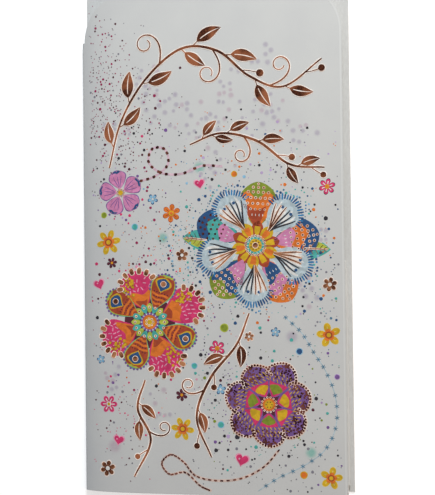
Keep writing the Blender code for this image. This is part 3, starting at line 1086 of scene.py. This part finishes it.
def add_purple_blossom(middle):
    rng = random.Random(37)
    put("maroon", 0, disc(middle, 8))
    for index in range(7):
        aim = 360 / 7 * index + 12 + rng.uniform(-3, 3)
        length = 12.2 * rng.uniform(0.95, 1.05)
        petal = Petal(middle, aim, 2.6, length, 5.2, 1.4, 0.55, rng.uniform(-0.6, 0.6))
        flaked_petal(petal, rng, "green" if index % 2 else "yellow", 1 + index % 2)
    discs = ("maroon", 2.8, 0.02), ("orange", 2.2, 0.02), ("yellow", 1.5, 0.02)
    eye(middle, discs, ((2.5, 14, 0.2), (1.0, 6, 0.2, "maroon")))


def add_small_blossom(middle):
    for index in range(5):
        petal = Petal(middle, 72 * index + 30, 1.2, 6.8, 3.3, 1.5, 0.6)
        put("purple", 1 + index % 2, petal.patch())
        put("orchid", 3 + index % 2, petal.patch(0.03, 0.95, -0.9, 0.9))
        put("blue", 5, petal.patch(0.84, 0.95, -0.7, 0.7, 0.03, 7))
        for side in (-0.45, 0.0, 0.45):
            put("purple", 7, petal.line(0.12, 0.7, side * 0.5, side, 0.12))
    eye(middle, (("blue", 1.3, 0.02), ("yellow", 0.9, 0.02)), [(1.25, 9, 0.2)])


# Each blossom: its function, middle and radius, and the number and colours of the dots round it
BLOSSOMS = (
    (add_large_blossom, (60, 85), 22.5, 260, "blue blue black sky teal orange black"),
    (add_pink_blossom, (23, 59), 19.5, 220, "pink crimson maroon black orange purple blush"),
    (add_purple_blossom, (64, 31), 15, 150, "purple teal black lilac green maroon black"),
    (add_small_blossom, (13, 104), 8, 70, "lilac pink purple crimson black"),
)


def ringed_flower(x, y, radius, petals, name, edge, ring, turn):
    """A small flower with a darker outline and a ring for its centre."""
    point = 0.85 if name == "yellow" else 0.55
    put(edge, 1, flower((x, y), radius + 0.22, petals, turn, point=point))
    put(name, 3, flower((x, y), radius, petals, turn, point=point))
    vein, half = ("white", 0.17) if name == "pink" else (edge, 0.12)
    for index in range(petals):
        angle = 2 * pi * index / petals + turn
        reaches = (0.34 * radius, 0.5 * radius, 0.72 * radius)
        route = [Vector(around((x, y), reach, angle)) for reach in reaches]
        put(vein, 5, ribbon(route, lambda share: half, 1))
    if name == "yellow":
        put("orange", 6, flower((x, y), 0.52 * radius, petals, turn, 0.7))
    put(ring, 7, disc((x, y), 0.3 * radius))
    put("yellow" if ring != "yellow" else "orange", 9, disc((x, y), 0.19 * radius))
    taken.append((x, y, radius + 0.6))


def ringed_heart(x, y, size, turn):
    put("blush", 1, heart((x, y), size + 0.9, turn))
    put("pink", 4, heart((x, y), size, turn))
    put("blush", 6, disc((x - 0.2 * size * cos(turn), y + 0.14 * size), 0.08 * size))
    taken.append((x, y, size * 0.6))


def star(x, y, radius, turn):
    put("blue", 1, flower((x, y), radius, 5, turn, 0.2))
    put("sky", 3, flower((x, y), radius * 0.8, 5, turn, 0.2))
    put("white", 5, disc((x, y), radius * 0.22))
    taken.append((x, y, radius + 0.5))


def copper_flower(x, y, radius, petals):
    details.bloom((x, y), radius, petals, 0.3)
    put("white", TOP_LAYER, disc((x, y), radius * 0.28))
    taken.append((x, y, radius + 0.5))


def ringed_disc(x, y, radius, name, halo):
    put(halo, 1, disc((x, y), radius, wobble=0.02, phase=x))
    put(name, 3, disc((x, y), radius * 0.78, wobble=0.03, phase=y))
    taken.append((x, y, radius + 0.4))


# Scattered motifs: the function that draws each kind, and the values for each one
MOTIFS = (
    (ringed_flower, (
        (8.4, 86.8, 4.3, 6, "yellow", "butter", "rust", 0.2),
        (84.4, 54.5, 4.0, 5, "yellow", "butter", "rust", 0.5),
        (34.2, 22.4, 3.9, 6, "yellow", "butter", "rust", 0.9),
        (84.6, 6.6, 3.7, 5, "yellow", "butter", "rust", 0.1),
        (31.0, 96.5, 3.0, 6, "orange", "rust", "yellow", 0.4),
        (8.0, 30.5, 3.0, 6, "pink", "blush", "white", 0.0),
        (46.5, 50.0, 2.6, 5, "pink", "maroon", "yellow", 0.7),
        (84.5, 104.5, 2.6, 6, "pink", "maroon", "yellow", 0.3),
        (34.0, 34.0, 1.9, 6, "maroon", "maroon", "orange", 0.6),
        (9.6, 79.6, 1.7, 6, "maroon", "maroon", "orange", 0.2),
    )),
    (ringed_heart, (
        (4.8, 72, 3.6, 0.3), (54.5, 12, 4.2, -0.25), (41, 106.3, 3.2, 0.15), (11.5, 18, 3.4, -0.2),
    )),
    (star, (
        (47.5, 36, 1.9, 0.3), (24.5, 101.5, 1.9, 0.9), (66.5, 55.5, 1.7, 0.2), (5.2, 46, 1.6, 0.6),
    )),
    (copper_flower, ((85, 71.5, 2.4, 6), (7.4, 8.2, 2.7, 6), (34.6, 82, 2.1, 5), (57.5, 54, 1.6, 6))),
    (ringed_disc, (
        (49.0, 57.0, 1.5, "green", "lime"), (47.5, 24.0, 1.2, "teal", "sky"),
        (74.5, 49.0, 1.2, "blue", "sky"), (6.8, 96.3, 1.1, "green", "lime"),
        (75.5, 7.5, 1.3, "orange", "yellow"), (38.5, 44.0, 1.1, "teal", "sky"),
        (87.0, 40.5, 1.0, "purple", "lilac"), (18.0, 92.0, 1.2, "teal", "sky"),
        (53.0, 109.5, 1.1, "orange", "yellow"),
    )),
)

# Each trail: its ribbon's ink and half width, the marks' spacing and the room round them, places
TRAILS = (
    ("peach", 0.46, 1.6, 1.0, (
        (67, 15.5), (62, 10), (54.5, 6), (46, 5), (38.5, 6.5), (34.5, 11),
        (30, 13.5), (26.8, 10.5), (29.5, 6.8), (35, 7.5), (40, 3.2), (44, 1.4),
    )),
    ("powder", 0.42, 2.7, 1.5, (
        (20.5, 108), (25.5, 109.5), (30, 113.5), (29, 118.6), (24.6, 119),
        (23.2, 114.4), (27.5, 110.6), (34.5, 110), (42, 112.6), (49, 112.2),
    )),
    ("mist", 0.2, 3.4, 1.8, (
        (70, 60.5), (75.5, 55), (79.4, 48.5), (83.4, 42), (86.4, 33.5),
        (86.4, 24), (82.6, 16), (75.5, 10.6), (67, 6.4), (60, 1.8),
    )),
)


def add_trails():
    """A copper dashed trail, a pink one with dark beads and a pale blue one with asterisks."""
    for name, half, step, room, places in TRAILS:
        put(name, 1, ribbon(smooth_route(places, 0.7), lambda share: half))
        route = smooth_route(places, step)
        for here, after in zip(route, route[1:]):
            heading = heading_of(here, after)
            if name == "mist":
                for turn in range(3):
                    put("steel", 2, dash(here, 1.8, 0.26, heading + turn * pi / 3))
            else:
                size = (1.2, 0.54) if name == "peach" else (1.15, 0.95)
                put_dark_and_shaded(dash(here, *size, heading, FOIL_DOME))
            taken.append((here.x, here.y, room))


# Sprays of specks: middle, reach along both axes, count, extra size of the largest and colours
SPRAYS = (
    ((46, 38), (7, 12), 34, 0.7, "black"),
    ((80, 80), (5, 9), 14, 0.6, "black green blue"),
    ((5, 140), (7, 13), 560, 0.28, "crimson crimson maroon maroon grey"),
    ((14, 122), (9, 9), 320, 0.4, "crimson maroon maroon black"),
    ((35, 78), (5, 13), 260, 0.36, "blue teal steel sky black"),
    ((84, 62), (5, 12), 110, 0.36, "blue teal grey steel"),
    ((46, 40), (6, 14), 190, 0.36, "black grey teal purple"),
    ((68, 9), (13, 5), 150, 0.36, "grey grey black"),
    ((12, 24), (7, 12), 120, 0.36, "maroon grey pink"),
    ((56, 116), (18, 7), 200, 0.36, "grey black lilac orange"),
    ((28, 88), (12, 12), 150, 0.36, "grey grey crimson orange"),
)

# Sprays whose extra size is more than this hold few small specks
COARSE = 0.55
SMALLEST_SPECK = 0.17

# Dots round the blossoms: radius of the smallest, extra size of the largest, and mean reach
SMALLEST_DOT = 0.16
DOT_EXTRA = 0.5
DOT_REACH = 6.5

# Clear strips along the cover's left, right, bottom and top edges
CLEAR = (1.5, 1.2, 1.5, 3.0)


def add_speck(rng, place, size, palette):
    """A dot where there is room for it."""
    name = rng.choice(palette.split())
    x, y = place
    left, right, bottom, top = CLEAR
    if not left + size < x < cover_width - right - size:
        return
    if not bottom + size < y < cover_height - top - size:
        return
    if all(hypot(x - a, y - b) > size + c for a, b, c in taken):
        put(name, 3, disc((x, y), size, wobble=0.05, phase=x))
        taken.append((x, y, size + 0.1))


def add_confetti():
    """Dots that crowd round the blossoms and thin out away from them, and sprays of specks."""
    rng = random.Random(5)
    for _, middle, radius, count, palette in BLOSSOMS:
        for _ in range(count):
            angle = rng.uniform(0, 2 * pi)
            reach = radius - 1.5 + rng.expovariate(1 / DOT_REACH)
            size = SMALLEST_DOT + DOT_EXTRA * rng.random() ** 2.6
            add_speck(rng, around(middle, reach, angle), size, palette)
    for middle, spans, count, extra, palette in SPRAYS:
        power = 1 if extra > COARSE else 4
        for _ in range(count):
            place = (middle[0] + rng.gauss(0, spans[0]), middle[1] + rng.gauss(0, spans[1]))
            add_speck(rng, place, SMALLEST_SPECK + extra * rng.random() ** power, palette)


# Clusters of soft spots: middle, reach and the number tried
CLUSTERS = (
    (22, 141, 5, 22), (30, 133, 5, 20), (41, 128, 6, 26), (51, 137, 5, 20), (64, 131, 6, 26),
    (74, 124, 5, 16), (60, 148, 7, 9), (12, 126, 6, 12), (84, 88, 4, 18), (45, 112, 6, 12),
    (10, 40, 5, 10), (78, 66, 5, 14), (27, 28, 5, 8),
)

# Large single spots: place, radius and colour
LARGE_SPOTS = (
    (41, 112, 2.6, "soft_teal"), (10, 16, 3.0, "soft_pink"), (72, 54, 2.6, "soft_lilac"),
    (28, 88, 2.4, "soft_teal"), (78, 15, 2.4, "soft_teal"),
)

# The room between spots as a share of their radii, and the clear strips round them: the top
# edge has a wider one than the other three
SPOT_ROOM = 0.68
SPOT_SIDE = 3
SPOT_TOP = 5


def add_soft_spots():
    rng = random.Random(9)
    spots = []
    for x, y, reach, count in CLUSTERS:
        for _ in range(count):
            u, v = (x + rng.gauss(0, reach * 0.6), y + rng.gauss(0, reach * 0.6))
            size = rng.uniform(0.85, 1.35)
            name = rng.choice(("soft_lilac", "soft_lilac", "soft_lilac", "soft_pink"))
            clear = all(hypot(u - a, v - b) > SPOT_ROOM * (size + c) for a, b, c in spots)
            within = SPOT_SIDE < u < cover_width - SPOT_SIDE
            if clear and within and SPOT_SIDE < v < cover_height - SPOT_TOP:
                spots.append((u, v, size))
                put(name, 0, disc((u, v), size, soft=True, rings=4))
    for x, y, size, name in LARGE_SPOTS:
        put(name, 0, disc((x, y), size, soft=True, rings=6))


# Stage: floor, lamps, world and camera

CAMERA_PLACE = (0.05265, -0.00819, 0.31554)
CAMERA_TURN = (1.040, 9.356, -0.817)
PICTURE_HEIGHT = 495
FOCAL_PIXELS = 920.6
SENSOR = 36.0
WHITE = (1.0, 1.0, 1.0, 1.0)
SKY = (0.88, 0.91, 1.0, 1.0)
SKY_STRENGTH = 0.24
FLOOR_TONE = (0.9, 0.9, 0.9, 1.0)
FLOOR_HALF = 2.5
FLOOR_DEPTH = 0.00005
# The floor's glow, as seen directly, near the wallet and far away, and the distances
GLOW = {"To Min": 0.50, "To Max": 0.85, "From Min": 0.2, "From Max": 0.9}
# Each lamp: name, place, size, power and colour
LAMPS = (
    ("key", (0.12, 0.60, 0.36), 0.26, 4.62, (0.96, 1.0, 1.0)),
    ("side", (0.45, -0.08, 0.30), 0.20, 0.58, (1.0, 0.72, 0.42)),
)


def add_camera():
    camera = bpy.data.cameras.new("camera")
    camera.sensor_width = SENSOR
    camera.lens = FOCAL_PIXELS * SENSOR / PICTURE_HEIGHT
    camera.clip_start = 0.01
    camera.clip_end = 20
    holder = bpy.data.objects.new("camera", camera)
    holder.rotation_mode = "ZYX"
    holder.location = CAMERA_PLACE
    holder.rotation_euler = [radians(angle) for angle in CAMERA_TURN]
    bpy.context.scene.collection.objects.link(holder)
    bpy.context.scene.camera = holder


def add_lamp(name, place, size, power, colour):
    lamp = bpy.data.lights.new(name, "AREA")
    lamp.shape = "DISK"
    lamp.size = size
    lamp.energy = power
    lamp.color = colour
    holder = bpy.data.objects.new(name, lamp)
    holder.location = place
    holder.rotation_mode = "QUATERNION"
    holder.rotation_quaternion = Vector(place).to_track_quat("Z", "Y")
    holder.visible_camera = False
    bpy.context.scene.collection.objects.link(holder)


def by_sight(tree, unseen, seen):
    """A shader that differs for camera, glossy and transmission rays."""
    rays = tree.nodes.new("ShaderNodeLightPath").outputs
    found = rays["Is Camera Ray"]
    for name in ("Is Glossy Ray", "Is Transmission Ray"):
        found = new_node(tree, "Math", {0: found, 1: rays[name]}, "MAXIMUM")
    return new_node(tree, "MixShader", {"Fac": found, 1: unseen, 2: seen})


def add_world():
    world = bpy.data.worlds.new("studio")
    world.use_nodes = True
    tree = world.node_tree
    sky = feed(tree, tree.nodes["Background"], {"Color": SKY, "Strength": SKY_STRENGTH})
    white = new_node(tree, "Background", {"Color": WHITE, "Strength": 1.0})
    feed(tree, tree.nodes["World Output"], {"Surface": by_sight(tree, sky, white)})
    bpy.context.scene.world = world


def add_floor():
    """A pale floor that reads as white, keeps the wallet's shadow and stays white far away."""
    material = bpy.data.materials.new("floor_pale")
    material.use_nodes = True
    tree = material.node_tree
    values = {"Base Color": FLOOR_TONE, "Roughness": 0.9, "Specular IOR Level": 0.1}
    shader = feed(tree, tree.nodes["Principled BSDF"], values)
    space = tree.nodes.new("ShaderNodeTexCoord").outputs["Object"]
    reach = new_node(tree, "VectorMath", {0: space}, "LENGTH").outputs["Value"]
    glow = new_node(tree, "MapRange", {**GLOW, "Value": reach})
    light = new_node(tree, "Emission", {"Strength": glow})
    nothing = new_node(tree, "Emission", {"Strength": 0.0})
    both = new_node(tree, "AddShader", {0: shader, 1: by_sight(tree, nothing, light)})
    feed(tree, tree.nodes["Material Output"], {"Surface": both})
    signs = ((-1, -1), (1, -1), (1, 1), (-1, 1))
    corners = [(FLOOR_HALF * x, FLOOR_HALF * y, -FLOOR_DEPTH) for x, y in signs]
    build("floor", corners, [[0, 1, 2, 3]], [material])


add_camera()
add_world()
for lamp_values in LAMPS:
    add_lamp(*lamp_values)
add_floor()
bpy.context.scene.view_settings.view_transform = "Standard"
add_card()
add_edge_highlight()

# The printed colours under the record's slots: name and hex code
INKS = {
    "ink_pink": (
        ("pink", "#D8386F"), ("blush", "#F0A6C0"), ("powder", "#DCBECB"), ("orchid", "#D98BB8"),
        ("crimson", "#962753"), ("maroon", "#4E1A2A"),
    ),
    "ink_orange": (("orange", "#E57A2C"), ("peach", "#E4CBC0"), ("rust", "#A8472A")),
    "ink_yellow": (("yellow", "#DAB022"), ("butter", "#E6D078")),
    "ink_green": (("green", "#83932C"), ("lime", "#B9C24A")),
    "ink_teal": (("teal", "#4FB0A8"),),
    "ink_blue": (("blue", "#28507F"), ("azure", "#3A80B4"), ("black", "#201C25")),
    "ink_sky": (("sky", "#8FC0DE"), ("mist", "#BFD0D8"), ("steel", "#55809A")),
    "ink_purple": (("purple", "#7C5A9A"), ("lilac", "#BFA6D2"), ("grey", "#86848F")),
    "card_board": (("white", "#ECEBE8"),),
}
# Each soft colour: name, hex code, slot and strength
SOFT_INKS = (
    ("soft_lilac", "#B2AABA", "ink_purple", 0.85),
    ("soft_pink", "#C2ADBA", "ink_pink", 0.8),
    ("soft_teal", "#7DBCB0", "ink_teal", 0.9),
)
taken = [(*middle, radius - 1) for _, middle, radius, _, _ in BLOSSOMS]
inks = {}
for slot, colours in INKS.items():
    for name, code in colours:
        inks[name] = Print("print_" + name, slot, ink("ink_" + name, code))
for name, code, slot, strength in SOFT_INKS:
    inks[name] = Print("print_" + name, slot, soft_ink("ink_" + name, code, strength))
# The pale foil round the branches is a painted highlight
branch_highlight = copper("foil_rim_highlight", "#E6D2C4", "#FBF3EC", 3.0)
branch_foils = (copper("foil_branch", "#3C2018", "#935A3E", 9.0), branch_highlight)
for name, stem_shares, limbs in BRANCHES:
    add_branch(name, stem_shares, limbs, branch_foils)
detail_foils = (
    copper("foil_copper", "#42231A", "#A87250", 5.0),
    # A pale foil that is a painted highlight round the details
    copper("foil_detail_highlight", "#D3AF9A", "#F6E4D8", 3.0),
    # Dark foil, which is also painted shade on dots that no light catches
    copper("foil_dark_and_shaded", "#2C1418", "#6E3F34", 4.0),
)
details = Stamp("foil_details", "copper_foil", *detail_foils)
for paint, middle, *_ in BLOSSOMS:
    paint(middle)
for draw, table in MOTIFS:
    for motif in table:
        draw(*motif)
add_trails()
add_confetti()
add_soft_spots()
for piece in inks.values():
    piece.finish()
details.finish()
